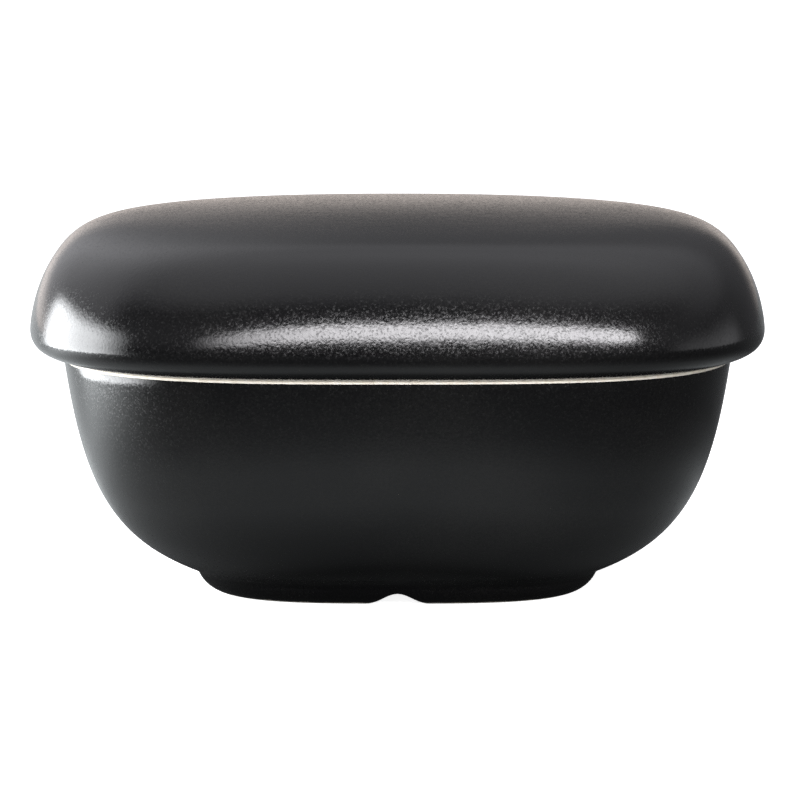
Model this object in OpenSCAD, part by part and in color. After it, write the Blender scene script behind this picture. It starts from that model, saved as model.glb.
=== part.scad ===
// Lidded sugar bowl in black stoneware: a soft-square bowl on a notched foot ring, and a hollow,
// knobless lid that overhangs the bowl and is held in place by a flange inside its mouth.
// Both pieces are slip-cast shells. Millimetres, +Z up, origin at the middle of the foot's flat.

/* [Bowl] */
// Outside width of the bowl at its rim, the same both ways
rim_width = 118.6; // [90:0.1:180]
// Height of the body, from the top of the foot to the rim
body_height = 38.5; // [28:0.1:80]
// Thickness of the bowl's wall
bowl_wall = 4.4; // [3:0.1:7]
// Thickness of the floor, over the hollow under the foot
floor_thickness = 4.4; // [3:0.1:8]
// How far the wall leans in below the rim, in degrees
rim_lean = 8; // [0:1:15]
// Length over which the wall keeps that lean
rim_run = 23.8; // [10:0.1:28]
// Slope at which the belly meets the foot, in degrees
belly_slope = 22; // [10:1:35]
// Length over which the belly keeps that slope
belly_run = 16.2; // [5:0.1:20]

/* [Foot] */
// Width across the top of the foot, where the belly meets it
foot_width = 72.2; // [50:0.1:88]
// Height of the foot
foot_height = 3.7; // [2.8:0.1:8]
// How far the foot's outside tapers in on each side, down to its flat
foot_taper = 3.6; // [0:0.1:6]
// Width of the flat ring that the bowl stands on
foot_flat = 3.4; // [2:0.1:8]
// Depth of the hollow under the bowl
foot_hollow = 2.4; // [1.5:0.1:6]
// Width of each drain notch in the foot
notch_width = 10.8; // [6:0.1:18]
// Height of each drain notch
notch_height = 2.1; // [1:0.1:2.3]

/* [Lid] */
// How far the lid's widest part stands out past the rim on each side
lid_overhang = 5.7; // [2:0.1:10]
// Height of the lid's widest part above the rim
bulge_height = 4.7; // [3:0.1:10]
// Height of the lid above its widest part
crown_height = 19.5; // [12:0.1:40]
// The share of that height that is the slow dome of the top
dome_height = 2.3; // [0:0.1:5]
// Thickness of the lid's shell
lid_wall = 4.2; // [3:0.1:7]
// How far the flange reaches down into the bowl
flange_height = 5; // [3:0.1:10]
// Thickness of the flange
flange_thickness = 3.6; // [2.5:0.1:6]
// Gap left between the flange and the bowl's mouth on each side
flange_clearance = 0.8; // [0.3:0.1:2]

/* [Form] */
// Squareness of the lid in plan: 2 is round, 4 is nearly square
lid_square = 3.3; // [2:0.1:5]
// Squareness of the rim
rim_square = 3.2; // [2:0.1:5]
// Squareness of the foot
foot_square = 3.3; // [2:0.1:5]
// How long the squareness holds towards the middle of a top or floor
square_hold = 4; // [1:0.5:8]
// Tightness of the lid's shoulder
shoulder_tightness = 12.9; // [4:0.1:20]
// Fullness of the lid's shoulder: lower is squarer in section
shoulder_fullness = 0.66; // [0.4:0.01:1]
// Radius of the edges where lid and bowl meet
seat_edge = 0.3; // [0.1:0.1:1]

/* [Hidden] */

segments = 72;
curve_steps = 10;
edge_steps = 2;
crown_steps = 13;
notch_steps = 16;
overcut = 1;

rim_half = rim_width / 2;
rim_z = foot_height + body_height;
lid_half = rim_half + lid_overhang;
bulge_z = rim_z + bulge_height;

mouth_half = rim_half - bowl_wall;
mouth_edge = min(1.2, bowl_wall / 3);
foot_half = foot_width / 2;
sole_half = foot_half - foot_taper;
hollow_half = sole_half - foot_flat;
floor_z = foot_hollow + floor_thickness;

flange_half = mouth_half - flange_clearance;
flange_tip = flange_half - flange_height * tan(rim_lean);
flange_inside = flange_tip - flange_thickness;
flange_edge = flange_thickness / 4;
gallery_half = lid_half - lid_wall;
gallery_z = bulge_z + lid_wall * 0.8;
gallery_run = 4.4;

// A profile is a list of [half width, height, squareness] stations.
function blend(a, b, t) = a + (b - a) * t;

function bezier_point(p, t) =
    pow(1 - t, 3) * p[0] + 3 * t * pow(1 - t, 2) * p[1] + 3 * t * t * (1 - t) * p[2] + pow(t, 3) * p[3];

function bezier_slope(p, t) =
    3 * pow(1 - t, 2) * (p[1] - p[0]) + 6 * t * (1 - t) * (p[2] - p[1]) + 3 * t * t * (p[3] - p[2]);

function curve(p, square_from, square_to, steps = curve_steps) = [
    for (i = [0:steps])
        let (t = i / steps, q = bezier_point(p, t))
        [q[0], q[1], blend(square_from, square_to, t)]
];

// The same curve moved sideways by a wall's thickness, to the left of its direction.
function offset_curve(p, wall, square_from, square_to, steps = curve_steps) = [
    for (i = [0:steps])
        let (t = i / steps, q = bezier_point(p, t), s = bezier_slope(p, t) / norm(bezier_slope(p, t)))
        [q[0] + wall * s[1], q[1] - wall * s[0], blend(square_from, square_to, t)]
];

// A small rounded edge, from one angle to another round a centre.
function rounded(x, z, radius, from, to, square, steps = edge_steps) = [
    for (i = [0:steps])
        let (a = blend(from, to, i / steps))
        [x + radius * cos(a), z + radius * sin(a), square]
];

// Share of its full height that the lid's crown has at a share of its half width.
function crown(share, height, dome) =
    (height - dome) * pow(1 - pow(share, shoulder_tightness), shoulder_fullness) + dome * (1 - share * share);

// Stations of a crown from its middle out, closer together over the shoulder.
function crown_profile(half, z, height, dome, steps = crown_steps) = [
    for (i = [1:steps])
        let (share = pow(sin(90 * i / steps), 0.8))
        [half * share, z + crown(share, height, dome), soften(lid_square, share)]
];

// Plans get rounder towards the middle.
function soften(square, share) = 2 + (square - 2) * pow(share, square_hold);

function backwards(list) = [for (i = [len(list) - 1:-1:0]) list[i]];

function plan(half, z, square) = [
    for (i = [0:segments - 1])
        let (a = 360 * i / segments, k = pow(pow(abs(cos(a)), square) + pow(abs(sin(a)), square), -1 / square))
        [half * k * cos(a), half * k * sin(a), z]
];

// A closed shell through the plans of a profile, from a point on the axis to another.
module shell(from_z, profile, to_z) {
    rings = len(profile);
    last = rings * segments + 1;
    points = concat([[0, 0, from_z]], [for (s = profile) each plan(s[0], s[1], s[2])], [[0, 0, to_z]]);
    function at(r, i) = 1 + r * segments + i % segments;
    faces = concat(
        [for (i = [0:segments - 1]) [0, at(0, i + 1), at(0, i)]],
        [for (r = [0:rings - 2], i = [0:segments - 1]) [at(r, i), at(r, i + 1), at(r + 1, i)]],
        [for (r = [0:rings - 2], i = [0:segments - 1]) [at(r, i + 1), at(r + 1, i + 1), at(r + 1, i)]],
        [for (i = [0:segments - 1]) [last, at(rings - 1, i), at(rings - 1, i + 1)]]
    );
    polyhedron(points, faces, convexity = 8);
}

// The outside of the body in section, from the rim down to the foot.
function body_curve() = [
    [rim_half, rim_z],
    [rim_half - rim_run * sin(rim_lean), rim_z - rim_run * cos(rim_lean)],
    [foot_half + belly_run * cos(belly_slope), foot_height + belly_run * sin(belly_slope)],
    [foot_half, foot_height]
];

// The inside, parallel to the outside, ends here and turns into the floor.
function bowl_inside() =
    let (
        wall = offset_curve(body_curve(), bowl_wall, rim_square, foot_square),
        low = wall[len(wall) - 1],
        drop = max(1, (low[1] - floor_z) / sin(belly_slope)),
        turn = [low[0] - drop * cos(belly_slope), low[1] - drop * sin(belly_slope)],
        floor_curve = [[low[0], low[1]], turn, [turn[0] * 0.7, floor_z], [0, floor_z]]
    )
    concat(
        [for (s = wall) if (s[1] < rim_z - mouth_edge * 1.6) s],
        [for (i = [1:curve_steps - 1])
            let (q = bezier_point(floor_curve, i / curve_steps))
            [q[0], q[1], soften(foot_square, q[0] / low[0])]]
    );

module foot_notch() {
    reach = foot_width + 2 * overcut;
    outline = [
        for (i = [0:notch_steps])
            let (x = blend(-1, 1, i / notch_steps))
            [x * notch_width / 2, notch_height * pow(cos(90 * x), 2)]
    ];
    translate([0, reach / 2, 0])
        rotate([90, 0, 0])
            linear_extrude(reach)
                polygon(concat(outline, [[notch_width / 2, -overcut], [-notch_width / 2, -overcut]]));
}

module bowl() {
    rim = concat(
        rounded(mouth_half + mouth_edge, rim_z - mouth_edge, mouth_edge, 180, 90, rim_square),
        rounded(rim_half - seat_edge, rim_z - seat_edge, seat_edge, 90, 0, rim_square)
    );
    body = curve(body_curve(), rim_square, foot_square);
    foot = curve([
        [foot_half, foot_height],
        [foot_half - foot_taper * 0.1, foot_height * 0.5],
        [sole_half + foot_taper * 0.45, foot_height * 0.04],
        [sole_half, 0]
    ], foot_square, foot_square, 6);
    hollow = curve([
        [hollow_half, 0],
        [hollow_half - foot_hollow * 0.3, foot_hollow * 0.7],
        [hollow_half - foot_hollow * 0.7, foot_hollow],
        [hollow_half - foot_hollow * 2, foot_hollow]
    ], foot_square, foot_square, 4);
    color("#1c1c1f")
        difference() {
            shell(floor_z, concat(
                backwards(bowl_inside()),
                rim,
                [for (i = [1:len(body) - 1]) body[i]],
                [for (i = [1:len(foot) - 1]) foot[i]],
                hollow
            ), foot_hollow);
            foot_notch();
        }
}

module lid() {
    underside = curve([
        [lid_half, bulge_z],
        [lid_half, bulge_z - bulge_height * 0.7],
        [rim_half + lid_overhang * 0.5, rim_z + bulge_height * 0.2],
        [rim_half, rim_z]
    ], lid_square, rim_square);
    seat = concat(
        [[rim_half - seat_edge, rim_z, rim_square], [flange_half, rim_z, rim_square]],
        rounded(flange_tip - flange_edge, rim_z - flange_height + flange_edge, flange_edge, 0, -90, rim_square),
        rounded(flange_inside + flange_edge, rim_z - flange_height + flange_edge, flange_edge, -90, -180, rim_square)
    );
    gallery = curve([
        [flange_inside, rim_z],
        [flange_inside, rim_z + lid_wall * 0.9],
        [gallery_half, gallery_z - gallery_run],
        [gallery_half, gallery_z]
    ], rim_square, lid_square, 7);
    ceiling_height = bulge_z + crown_height - lid_wall - gallery_z;
    ceiling = crown_profile(gallery_half, gallery_z, ceiling_height, dome_height, 10);
    color("#18181b")
        shell(bulge_z + crown_height, concat(
            crown_profile(lid_half, bulge_z, crown_height, dome_height),
            [for (i = [1:len(underside) - 2]) underside[i]],
            seat,
            gallery,
            [for (i = [len(ceiling) - 2:-1:0]) ceiling[i]]
        ), gallery_z + ceiling_height);
}

bowl();
lid();
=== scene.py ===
import math

import bmesh
import bpy
from mathutils import Matrix, Quaternion, Vector
from mathutils.geometry import interpolate_bezier


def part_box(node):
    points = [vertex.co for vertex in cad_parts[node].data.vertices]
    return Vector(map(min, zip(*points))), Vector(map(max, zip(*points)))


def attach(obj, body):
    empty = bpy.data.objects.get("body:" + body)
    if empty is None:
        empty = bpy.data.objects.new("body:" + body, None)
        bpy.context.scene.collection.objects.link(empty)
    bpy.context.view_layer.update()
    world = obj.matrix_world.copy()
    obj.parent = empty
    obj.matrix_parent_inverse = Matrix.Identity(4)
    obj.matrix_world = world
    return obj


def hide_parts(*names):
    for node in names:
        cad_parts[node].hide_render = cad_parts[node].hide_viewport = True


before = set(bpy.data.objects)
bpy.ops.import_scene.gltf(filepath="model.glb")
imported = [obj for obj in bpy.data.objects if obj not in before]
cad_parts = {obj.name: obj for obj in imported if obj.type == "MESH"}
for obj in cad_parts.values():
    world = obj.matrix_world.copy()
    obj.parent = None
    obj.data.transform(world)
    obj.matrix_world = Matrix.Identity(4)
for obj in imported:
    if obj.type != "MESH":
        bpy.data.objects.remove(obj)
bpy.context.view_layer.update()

print("frame loaded")

mm = 0.001
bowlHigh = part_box("bowl")[1]
lidLow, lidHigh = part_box("lid")
rimHalf = bowlHigh.x
rimZ = bowlHigh.z
lidHalf = lidHigh.x
lidTop = lidHigh.z
flangeTipZ = lidLow.z
spokes = 288  # steps round each piece

# How square each level is in plan: 2 is round, 4 is nearly square.
squareness = {"lid": 3.3, "rim": 3.2, "foot": 3.3, "hold": 4}


def blend(a, b, t):
    return a + (b - a) * t


def softer(square, share):
    # plans get rounder towards the middle of a top or a floor
    return 2 + (square - 2) * share ** squareness["hold"]


def curve(start, pullStart, pullEnd, end, steps, squareStart, squareEnd):
    # stations along a curve in section, each [half width, height, squareness]
    points = interpolate_bezier(*[Vector(p) for p in (start, pullStart, pullEnd, end)], steps + 1)
    return [[p.x, p.y, blend(squareStart, squareEnd, i / steps)] for i, p in enumerate(points)]


def besides(stations, wall):
    # the same stations moved sideways by a wall's thickness
    moved = []
    for i, here in enumerate(stations):
        before = stations[max(i - 1, 0)]
        after = stations[min(i + 1, len(stations) - 1)]
        run = Vector((after[0] - before[0], after[1] - before[1])).normalized()
        moved.append([here[0] + wall * run.y, here[1] - wall * run.x, here[2]])
    return moved


def rounded(x, z, radius, start, end, square, steps=4):
    turns = [math.radians(blend(start, end, i / steps)) for i in range(steps + 1)]
    return [[x + radius * math.cos(a), z + radius * math.sin(a), square] for a in turns]


def turned(name, stations):
    # a section is drawn point by point and spun round the axis
    bpy.ops.object.select_all(action="DESELECT")
    bpy.ops.mesh.primitive_plane_add(size=mm, location=(0, 0, 0))
    obj = bpy.context.object
    obj.name = obj.data.name = name
    bpy.ops.object.mode_set(mode="EDIT")
    bpy.ops.mesh.select_all(action="SELECT")
    bpy.ops.mesh.merge(type="CENTER")
    x, z, square = stations[0]
    bpy.ops.transform.translate(value=(x, 0, z))
    for nextX, nextZ, square in stations[1:]:
        bpy.ops.mesh.extrude_vertices_move(TRANSFORM_OT_translate={"value": (nextX - x, 0, nextZ - z)})
        x, z = nextX, nextZ
    mesh = bmesh.from_edit_mesh(obj.data)
    layer = mesh.verts.layers.float.new("square")
    for v, station in zip(mesh.verts, stations):
        v[layer] = station[2]
    bpy.ops.mesh.select_all(action="SELECT")
    bpy.ops.mesh.spin(steps=spokes, angle=math.tau, center=(0, 0, 0), axis=(0, 0, 1))
    bpy.ops.mesh.select_all(action="SELECT")
    bpy.ops.mesh.remove_doubles(threshold=mm / 1000)
    bpy.ops.mesh.normals_make_consistent(inside=False)
    bpy.ops.object.mode_set(mode="OBJECT")
    return obj


def pressSquare(obj):
    # every round ring is pushed out to its soft square
    layer = obj.data.attributes["square"].data
    for v in obj.data.vertices:
        reach = math.hypot(v.co.x, v.co.y)
        if reach < 1e-7:
            continue
        n = max(layer[v.index].value, 2)
        side = abs(v.co.x / reach) ** n + abs(v.co.y / reach) ** n
        v.co.x *= side ** (-1 / n)
        v.co.y *= side ** (-1 / n)
    obj.data.attributes.remove(obj.data.attributes["square"])
    bpy.ops.object.shade_smooth()


lid = {
    "bulge": 4.7 * mm,          # height of the widest part over the rim
    "dome": 2.3 * mm,           # slow rise of the top
    "tightness": 12.9,          # of the shoulder
    "fullness": 0.66,
    "wall": 4.2 * mm,
    "flange": 3.6 * mm,         # thickness
    "clearance": 0.8 * mm,
    "lean": 8,                  # degrees, as the bowl's wall
    "seatEdge": 0.10 * mm,
    "mouthWall": 4.4 * mm,      # of the bowl
    "galleryRise": 0.8,         # shares of the wall, where the hollow widens
    "galleryPull": 0.9,
    "galleryRun": 4.4 * mm,
    "steps": {"crown": 44, "underside": 20, "gallery": 12, "ceiling": 18},
}


def crownRise(share, height, dome):
    shoulder = (1 - share ** lid["tightness"]) ** lid["fullness"]
    return (height - dome) * shoulder + dome * (1 - share * share)


def crownStations(half, z, height, dome, steps):
    found = []
    for i in range(1, steps + 1):
        share = math.sin(math.pi / 2 * i / steps) ** 0.8
        found.append([half * share, z + crownRise(share, height, dome), softer(squareness["lid"], share)])
    return found


def makeLid():
    bulgeZ = rimZ + lid["bulge"]
    overhang = lidHalf - rimHalf
    flangeHeight = rimZ - flangeTipZ
    flangeHalf = rimHalf - lid["mouthWall"] - lid["clearance"]
    tipHalf = flangeHalf - flangeHeight * math.tan(math.radians(lid["lean"]))
    inside = tipHalf - lid["flange"]
    tipEdge = lid["flange"] / 4
    galleryHalf = lidHalf - lid["wall"]
    galleryZ = bulgeZ + lid["wall"] * lid["galleryRise"]
    ceilingHeight = lidTop - lid["wall"] - galleryZ
    lidSquare, rimSquare, steps = squareness["lid"], squareness["rim"], lid["steps"]
    crown = crownStations(lidHalf, bulgeZ, lidTop - bulgeZ, lid["dome"], steps["crown"])
    underside = curve((lidHalf, bulgeZ), (lidHalf, bulgeZ - lid["bulge"] * 0.7),
                      (rimHalf + overhang * 0.5, rimZ + lid["bulge"] * 0.2), (rimHalf, rimZ),
                      steps["underside"], lidSquare, rimSquare)
    seat = [[rimHalf - lid["seatEdge"], rimZ, rimSquare], [rimHalf - 1.5 * mm, rimZ, rimSquare],
            [flangeHalf + 0.4 * mm, rimZ, rimSquare], [flangeHalf, rimZ - 0.1 * mm, rimSquare],
            [blend(flangeHalf, tipHalf, 0.5), blend(rimZ, flangeTipZ, 0.5), rimSquare]]
    tip = (rounded(tipHalf - tipEdge, flangeTipZ + tipEdge, tipEdge, 0, -90, rimSquare)
           + rounded(inside + tipEdge, flangeTipZ + tipEdge, tipEdge, -90, -180, rimSquare))
    gallery = curve((inside, rimZ), (inside, rimZ + lid["wall"] * lid["galleryPull"]),
                    (galleryHalf, galleryZ - lid["galleryRun"]), (galleryHalf, galleryZ),
                    steps["gallery"], rimSquare, lidSquare)
    ceiling = crownStations(galleryHalf, galleryZ, ceilingHeight, lid["dome"], steps["ceiling"])
    stations = ([[0, lidTop, 2]] + crown + underside[1:-1] + seat + tip + gallery + ceiling[-2::-1]
                + [[0, galleryZ + ceilingHeight, 2]])
    obj = turned("lidShell", stations)
    pressSquare(obj)
    return obj


bowl = {
    "wall": 4.4 * mm,
    "floor": 4.4 * mm,
    "lean": 8,                  # degrees the wall leans in below the rim
    "leanRun": 23.8 * mm,
    "bellySlope": 22,           # degrees where the belly meets the foot
    "bellyRun": 16.2 * mm,
    "footHalf": 36.1 * mm,
    "footHeight": 3.7 * mm,
    "footTaper": 3.6 * mm,
    "footFlat": 3.4 * mm,
    "hollow": 2.4 * mm,         # under the bowl
    "notchWidth": 10.8 * mm,
    "notchHeight": 2.1 * mm,
    "rimEdge": 0.12 * mm,
    "mouthEdge": 1.2 * mm,
    "notchEdge": 0.25 * mm,
    "steps": {"body": 30, "floor": 14, "foot": 12, "hollow": 8},
}


def makeBowl():
    wall, footHalf, footHeight = bowl["wall"], bowl["footHalf"], bowl["footHeight"]
    lean, slope = math.radians(bowl["lean"]), math.radians(bowl["bellySlope"])
    rimSquare, footSquare = squareness["rim"], squareness["foot"]
    steps = bowl["steps"]
    soleHalf = footHalf - bowl["footTaper"]
    hollowHalf = soleHalf - bowl["footFlat"]
    floorZ = bowl["hollow"] + bowl["floor"]
    body = curve((rimHalf, rimZ),
                 (rimHalf - bowl["leanRun"] * math.sin(lean), rimZ - bowl["leanRun"] * math.cos(lean)),
                 (footHalf + bowl["bellyRun"] * math.cos(slope),
                  footHeight + bowl["bellyRun"] * math.sin(slope)),
                 (footHalf, footHeight), steps["body"], rimSquare, footSquare)
    mouthEdge = min(bowl["mouthEdge"], wall / 3)
    inner = [s for s in besides(body, wall) if s[1] < rimZ - mouthEdge * 1.3]
    low = inner[-1]
    drop = (low[1] - floorZ) / math.sin(slope)
    turn = (low[0] - drop * math.cos(slope), floorZ)
    floor = curve((low[0], low[1]), turn, (turn[0] * 0.7, floorZ), (0.0, floorZ),
                  steps["floor"], footSquare, footSquare)
    floor = [[x, z, softer(footSquare, x / low[0])] for x, z, n in floor[1:-1]]
    inside = (inner + floor)[::-1]
    rim = (rounded(rimHalf - wall + mouthEdge, rimZ - mouthEdge, mouthEdge, 180, 90, rimSquare)
           + rounded(rimHalf - bowl["rimEdge"], rimZ - bowl["rimEdge"], bowl["rimEdge"], 90, 0, rimSquare))
    foot = curve((footHalf, footHeight), (footHalf - bowl["footTaper"] * 0.1, footHeight * 0.5),
                 (soleHalf + bowl["footTaper"] * 0.45, footHeight * 0.04), (soleHalf, 0.0),
                 steps["foot"], footSquare, footSquare)
    sole = [[blend(soleHalf, hollowHalf, t), 0.0, footSquare] for t in (0.15, 0.5, 0.85)]
    hollow = curve((hollowHalf, 0.0), (hollowHalf - bowl["hollow"] * 0.3, bowl["hollow"] * 0.7),
                   (hollowHalf - bowl["hollow"] * 0.7, bowl["hollow"]),
                   (hollowHalf - bowl["hollow"] * 2, bowl["hollow"]), steps["hollow"], footSquare, footSquare)
    under = [[hollowHalf * t, bowl["hollow"], softer(footSquare, t)] for t in (0.7, 0.4, 0.15)]
    stations = ([[0, floorZ, 2]] + inside + rim + body[1:-1] + foot[1:] + sole + hollow + under
                + [[0, bowl["hollow"], 2]])
    obj = turned("bowlShell", stations)
    pressSquare(obj)
    cutNotches(obj)
    return obj


def cutNotches(obj):
    # the sole rises over each notch, with a soft edge where it starts
    soft = bowl["notchEdge"]
    for v in obj.data.vertices:
        across = v.co.x / (bowl["notchWidth"] / 2)
        inFoot = v.co.z < bowl["hollow"] and abs(v.co.y) > bowl["footHalf"] * 0.6
        if abs(across) < 1 and inFoot:
            rise = bowl["notchHeight"] * math.cos(math.pi / 2 * across) ** 2
            gap = v.co.z - rise
            v.co.z = rise + (gap + math.sqrt(gap * gap + soft * soft * min(1, rise / soft))) / 2


class Wire:
    def __init__(self, tree, socket):
        self.tree, self.socket = tree, socket

    def maths(self, operation, *values):
        return node(self.tree, "ShaderNodeMath", {"operation": operation}, list(values))

    def __add__(self, other): return self.maths("ADD", self, other)
    def __radd__(self, other): return self.maths("ADD", other, self)
    def __sub__(self, other): return self.maths("SUBTRACT", self, other)
    def __rsub__(self, other): return self.maths("SUBTRACT", other, self)
    def __mul__(self, other): return self.maths("MULTIPLY", self, other)
    def __rmul__(self, other): return self.maths("MULTIPLY", other, self)
    def __truediv__(self, other): return self.maths("DIVIDE", self, other)


def node(tree, kind, settings, inputs, output=0):
    made = tree.nodes.new(kind)
    for name, value in settings.items():
        if name == "stops":
            for i, (place, colour) in enumerate(value):
                stop = made.color_ramp.elements[i] if i < 2 else made.color_ramp.elements.new(place)
                stop.position, stop.color = place, colour
        else:
            setattr(made, name, value)
    pairs = inputs.items() if isinstance(inputs, dict) else enumerate(inputs)
    for key, value in pairs:
        if isinstance(value, Wire):
            tree.links.new(value.socket, made.inputs[key])
        else:
            made.inputs[key].default_value = value
    return Wire(tree, made.outputs[output]) if made.outputs else None


def step(wire, low, high):
    # 0 below low, 1 above high, smooth between
    return node(wire.tree, "ShaderNodeMapRange", {"interpolation_type": "SMOOTHSTEP"},
                {"Value": wire, "From Min": low, "From Max": high, "To Min": 0, "To Max": 1})


def mixColour(factor, a, b):
    return node(factor.tree, "ShaderNodeMix", {"data_type": "RGBA"}, {0: factor, 6: a, 7: b}, 2)


glaze = {
    "colour": (0.0022, 0.0022, 0.0024, 1),
    "worn": (0.0045, 0.0044, 0.0044, 1),
    "roughness": 0.14,
    "grainSize": 0.50 * mm,
    "grainDepth": 0.016 * mm,
    "grainRough": 0.20,         # how far each pattern moves the roughness
    "cloudRough": 0.05,
    "pitRough": 0.14,
    "peelSize": 3.2 * mm,       # slow unevenness under the grain
    "peelDepth": 1.2,           # share of the grain's depth
    "cloudSize": 26 * mm,       # where the glaze pooled
    "thickness": 0.05 * mm,
    "clay": (0.92, 0.88, 0.80, 1),
    "clayDark": (0.84, 0.78, 0.68, 1),
    "claySize": 1.4 * mm,
    "clayRoughness": 0.85,
    "lidLine": (0.08 * mm, 0.13 * mm),      # bare above the seat
    "rimLine": (0.44 * mm, 0.38 * mm),      # bare below the rim
    "soleLine": (0.22 * mm, 0.40 * mm),     # bare above the sole
    "soleWobble": (3.0 * mm, 0.35 * mm),    # size and height of its uneven edge
}


def noise(tree, place, size, detail=2.0, rough=0.5):
    return node(tree, "ShaderNodeTexNoise", {}, {"Vector": place, "Scale": 1 / size, "Detail": detail,
                                                 "Roughness": rough}, "Fac")


def stoneware(name, bareOf):
    # matte black glaze, with bare clay where bareOf says
    material = bpy.data.materials.new(name)
    material.use_nodes = True
    tree = material.node_tree
    tree.nodes.clear()
    place = node(tree, "ShaderNodeTexCoord", {}, {}, "Object")
    grain = noise(tree, place, glaze["grainSize"], 1.0)
    pits = step(noise(tree, place, glaze["grainSize"] * 0.8, 1.0), 0.50, 0.68)
    peel = noise(tree, place, glaze["peelSize"])
    cloud = noise(tree, place, glaze["cloudSize"], 3.0)
    bare = bareOf(tree, place, node(tree, "ShaderNodeSeparateXYZ", {}, [place], "Z"))
    black = mixColour(step(cloud + (grain - 0.5) * 0.5, 0.35, 0.75), glaze["colour"], glaze["worn"])
    clay = mixColour(step(noise(tree, place, glaze["claySize"], 3.0) + (grain - 0.5) * 0.4, 0.35, 0.7),
                     glaze["clay"], glaze["clayDark"])
    colour = mixColour(bare, black, clay)
    uneven = (grain - 0.5) * glaze["grainRough"] + (cloud - 0.5) * glaze["cloudRough"]
    roughGlaze = glaze["roughness"] + uneven + pits * glaze["pitRough"]
    roughness = roughGlaze + bare * (glaze["clayRoughness"] - glaze["roughness"])
    height = (grain + peel * glaze["peelDepth"]) * glaze["grainDepth"] - bare * glaze["thickness"]
    bump = node(tree, "ShaderNodeBump", {}, {"Strength": 1.0, "Distance": 1.0, "Height": height})
    shader = node(tree, "ShaderNodeBsdfPrincipled", {}, {"Base Color": colour, "Roughness": roughness,
                                                         "IOR": 1.5, "Normal": bump})
    node(tree, "ShaderNodeOutputMaterial", {}, {"Surface": shader})
    return material


def bareLid(tree, place, z):
    low, high = glaze["lidLine"]
    return 1 - step(z, rimZ + low, rimZ + high)


def bareBowl(tree, place, z):
    low, high = glaze["rimLine"]
    rim = step(z, rimZ - low, rimZ - high)
    size, depth = glaze["soleWobble"]
    wobble = (noise(tree, place, size) - 0.5) * depth
    return rim + 1 - step(z + wobble, *glaze["soleLine"])


def finish(obj, material, body, cadNode):
    obj.data.materials.clear()
    obj.data.materials.append(material)
    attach(obj, body)
    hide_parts(cadNode)


lidShell = makeLid()
print("lid made,", len(lidShell.data.polygons), "faces")
bowlShell = makeBowl()
print("bowl made,", len(bowlShell.data.polygons), "faces")
finish(lidShell, stoneware("blackGlazeLid", bareLid), "lid", "lid")
finish(bowlShell, stoneware("blackGlazeBowl", bareBowl), "bowl", "bowl")
print("finishes on")


studio = {
    "distance": 0.975,          # camera to the aim
    "elevation": 7.033,         # degrees
    "lens": 244.05,
    "aim": (0.45 * mm, 0, 31.8 * mm),
    "pivotZ": 32.45 * mm,
    "floorTone": (0.8, 0.8, 0.8, 1),
    "floorGlow": 0.88,
}

# Brightness of the room by height, from the horizon to straight up.
room = {
    "behind": [(0.0, 0.10), (0.14, 0.11), (0.34, 0.16), (0.50, 0.36), (0.62, 0.46), (0.82, 0.77), (1.0, 1.0)],
    "infront": [(0.0, 0.05), (0.34, 0.25), (0.62, 0.15), (0.82, 0.75), (1.0, 1.0)],
    "tint": (0.95, 0.95, 1.0),
    # soft glows: azimuth and elevation, cosines of the outer and inner edge,
    # heights between which it fades, strength, tint
    "glows": [((-52, 11), (0.62, 0.83), (0.6, 1.0), 0.55, (0.96, 0.96, 1.0)),
              ((-12, 0), (0.80, 0.98), (0.0, 0.13), 0.85, (1.0, 0.88, 0.80)),
              ((84, 0), (0.80, 0.97), (0.05, 0.34), 0.70, (0.97, 0.97, 1.0))],
}

# What the glaze mirrors below the horizon: a table top that glows with painted light, a painted pool of light
# around the bowl and a painted shadow under it; no lamp lights it.
table = {
    "paintedLightAndShadowByReach": [(0.040, 0.03), (0.055, 0.22), (0.070, 0.46), (0.090, 0.48), (0.115, 0.21), (0.150, 0.08)],
    "size": 3,
    "tint": (0.93, 0.98, 1.0),
    "behind": 0.65,             # a wide painted pool of light, behind on the left
    "behindSpread": (0.1, 0.9),
    "behindTurn": -50,
    # painted shade over the table top's right side
    "paintedShadeRight": 0.5,
    "paintedPoolCentre": (-0.212, 0.01, 0),   # centre of a painted pool of light, under the window
    "paintedPoolSpread": 0.13,
    "paintedPoolGlow": 2.1,
}

stripFront = {
    "azimuth": 169, "elevation": 21.0, "distance": 1.4, "slide": -0.13, "roll": 3.5,
    "width": 2.33, "height": 0.30,
    "radiance": 19.5, "tint": (0.99, 0.97, 1.0), "fades": (0.53, 0.10, 0.12, 0.12),
}

windowLeft = {
    "centre": (-0.19, 0.003, 0.0595), "aim": (0, 0.003, 0.0595), "width": 0.285, "height": 0.118,
    "radiance": 12.5, "tint": (0.96, 0.98, 1.0), "fades": (0.32, 0.32, 0.02, 0.28),
}


rimFill = {
    # low and wide: it reaches the bare clay under the lid's overhang and the glaze doesn't mirror it
    "centre": (0, -1.2, 0.10), "aim": (0, -0.06, 0.043), "width": 2.4, "height": 0.24,
    "radiance": 6.0, "tint": (1.0, 0.99, 0.97), "fades": (0.1, 0.1, 0.1, 0.1),
}


def makeCamera():
    lift = math.radians(studio["elevation"])
    data = bpy.data.cameras.new("camera")
    data.lens = studio["lens"]
    data.clip_start = 0.01
    camera = bpy.data.objects.new("camera", data)
    bpy.context.scene.collection.objects.link(camera)
    away = studio["distance"]
    camera.location = (0, -away * math.cos(lift), studio["pivotZ"] + away * math.sin(lift))
    look = Vector(studio["aim"]) - camera.location
    camera.rotation_euler = look.to_track_quat("-Z", "Y").to_euler()
    bpy.context.scene.camera = camera


def around(azimuth, elevation, distance=1):
    # azimuth 0 is behind the object, 90 is its right, and 180 is the camera's side
    a, e = math.radians(azimuth), math.radians(elevation)
    return Vector((math.sin(a) * math.cos(e), math.cos(a) * math.cos(e), math.sin(e))) * distance


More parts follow.
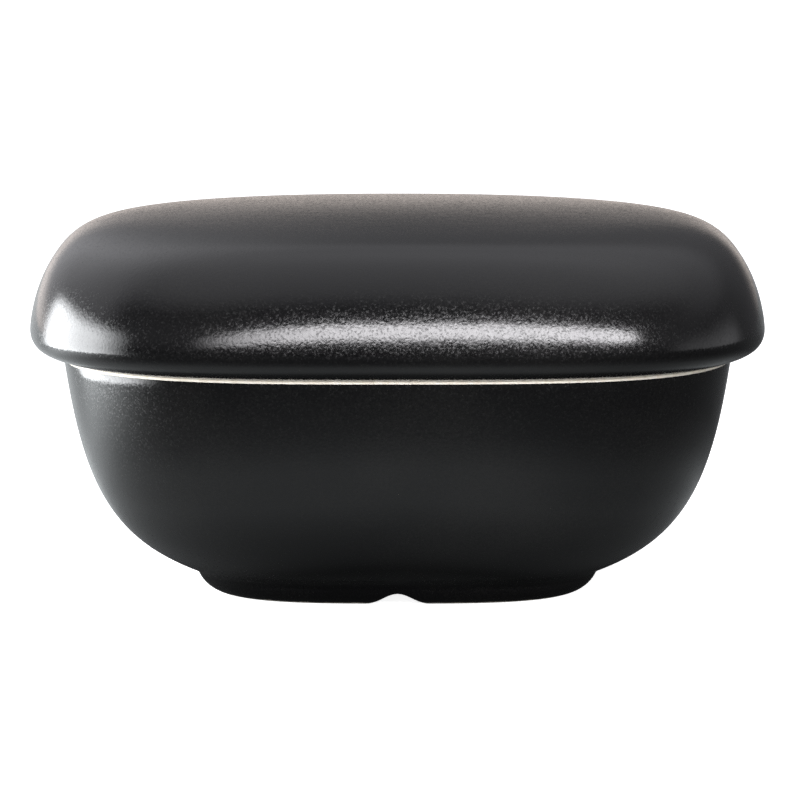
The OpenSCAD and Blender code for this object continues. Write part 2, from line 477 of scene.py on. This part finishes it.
def softBox(name, centre, aim, width, height, radiance, tint, fades, roll=0, slide=0):
    # a panel that fades towards its left, right, lower and upper ends
    data = bpy.data.lights.new(name, "AREA")
    data.shape = "RECTANGLE"
    data.size, data.size_y = width, height
    data.energy = radiance * math.pi * width * height
    data.color = tint
    data.use_nodes = True
    tree = data.node_tree
    tree.nodes.clear()
    across = node(tree, "ShaderNodeNewGeometry", {}, {}, "Parametric")
    u, v = [node(tree, "ShaderNodeSeparateXYZ", {}, [across], i) for i in range(2)]
    left, right, lower, upper = fades
    profile = step(u, 0, left) * step(1 - u, 0, right) * step(v, 0, lower) * step(1 - v, 0, upper)
    glow = node(tree, "ShaderNodeEmission", {}, {"Strength": profile})
    node(tree, "ShaderNodeOutputLight", {}, {"Surface": glow})
    lamp = bpy.data.objects.new(name, data)
    bpy.context.scene.collection.objects.link(lamp)
    facing = (Vector(aim) - Vector(centre)).to_track_quat("-Z", "Y")
    facing = facing @ Quaternion((0, 0, 1), math.radians(roll))
    lamp.location = Vector(centre) + facing @ Vector((slide, 0, 0))
    lamp.rotation_euler = facing.to_euler()
    lamp.visible_camera = False
    return lamp


def stagePlane(name, size, tone, glow):
    bpy.ops.object.select_all(action="DESELECT")
    bpy.ops.mesh.primitive_plane_add(size=size, location=(0, 0, 0))
    plane = bpy.context.object
    plane.name = name
    material = bpy.data.materials.new(name)
    material.use_nodes = True
    shader = material.node_tree.nodes["Principled BSDF"]
    shader.inputs["Base Color"].default_value = tone
    shader.inputs["Roughness"].default_value = 0.9
    shader.inputs["Emission Color"].default_value = (1, 1, 1, 1)
    shader.inputs["Emission Strength"].default_value = glow
    plane.data.materials.append(material)
    return plane, shader


def profileOf(wire, stops, reach):
    # a brightness that runs through the stops as the wire goes from 0 to reach
    greys = [(at / reach, (value, value, value, 1)) for at, value in stops]
    return node(wire.tree, "ShaderNodeValToRGB", {"stops": greys}, {0: wire / reach})


def scaled(wire, tint):
    return node(wire.tree, "ShaderNodeVectorMath", {"operation": "SCALE"}, {0: tint, "Scale": wire})


def makeFloor():
    # the pale floor is what the camera sees, and the table top is what the glaze mirrors: a glowing plane
    # with painted light, painted pools of light and a painted shadow under the bowl
    floor, shader = stagePlane("floor", 12, studio["floorTone"], studio["floorGlow"])
    floor.visible_glossy = floor.visible_diffuse = False
    top, shader = stagePlane("paintedLightTable", table["size"], (0.02, 0.02, 0.02, 1), 1)
    top.visible_camera = top.visible_shadow = False
    top.data.transform(Matrix.Translation((0, 0, -0.1 * mm)))
    tree = shader.id_data
    place = node(tree, "ShaderNodeTexCoord", {}, {}, "Object")
    reach = node(tree, "ShaderNodeVectorMath", {"operation": "LENGTH"}, [place], "Value")
    right = node(tree, "ShaderNodeSeparateXYZ", {}, [place], 0) / reach
    # painted light by distance from the bowl: a painted shadow under it, a bright painted ring around it, and
    # painted shade towards the right
    glow = profileOf(reach, table["paintedLightAndShadowByReach"], 0.5) * (1 - step(right, 0.1, 0.9) * table["paintedShadeRight"])
    behind = node(tree, "ShaderNodeVectorMath", {"operation": "DOT_PRODUCT"},
                  [place, around(table["behindTurn"], 0)], "Value") / reach
    low, high = table["behindSpread"]
    # a wide painted pool of light, behind on the left
    glow = glow + step(behind, low, high) * step(reach, 0.06, 0.13) * table["behind"]
    away = node(tree, "ShaderNodeVectorMath", {"operation": "DISTANCE"}, [place, table["paintedPoolCentre"]], "Value")
    # a painted pool of light under the window
    glow = glow + (1 - step(away, 0, table["paintedPoolSpread"])) * table["paintedPoolGlow"]
    tree.links.new(scaled(glow, table["tint"]).socket, shader.inputs["Emission Color"])


def makeRoom():
    # dim and plain, brightest straight up
    world = bpy.data.worlds.new("room")
    world.use_nodes = True
    tree = world.node_tree
    tree.nodes.clear()
    place = node(tree, "ShaderNodeTexCoord", {}, {}, "Generated")
    y, z = [node(tree, "ShaderNodeSeparateXYZ", {}, [place], i) for i in (1, 2)]
    back = step(y, -0.35, 0.35)
    glow = profileOf(z, room["behind"], 1) * back + profileOf(z, room["infront"], 1) * (1 - back)
    colour = scaled(glow, room["tint"])
    for direction, (low, high), (bottom, top), strength, tint in room["glows"]:
        towards = node(tree, "ShaderNodeVectorMath", {"operation": "DOT_PRODUCT"},
                       [place, around(*direction)], "Value")
        more = scaled(step(towards, low, high) * (1 - step(z, bottom, top)) * strength, tint)
        colour = node(tree, "ShaderNodeVectorMath", {"operation": "ADD"}, [colour, more])
    sky = node(tree, "ShaderNodeBackground", {}, {"Color": colour})
    node(tree, "ShaderNodeOutputWorld", {}, {"Surface": sky})
    bpy.context.scene.world = world


makeFloor()
makeRoom()
rimMiddle = Vector((0, 0, rimZ))
stripMiddle = rimMiddle + around(stripFront["azimuth"], stripFront["elevation"], stripFront["distance"])
softBox("stripFront", stripMiddle, rimMiddle, stripFront["width"], stripFront["height"],
        stripFront["radiance"], stripFront["tint"], stripFront["fades"], stripFront["roll"],
        stripFront["slide"])
softBox("windowLeft", windowLeft["centre"], windowLeft["aim"], windowLeft["width"], windowLeft["height"],
        windowLeft["radiance"], windowLeft["tint"], windowLeft["fades"])
fill = softBox("rimFill", rimFill["centre"], rimFill["aim"], rimFill["width"], rimFill["height"],
               rimFill["radiance"], rimFill["tint"], rimFill["fades"])
fill.visible_glossy = False
makeCamera()
bpy.context.scene.view_settings.view_transform = "Standard"
print("studio set")
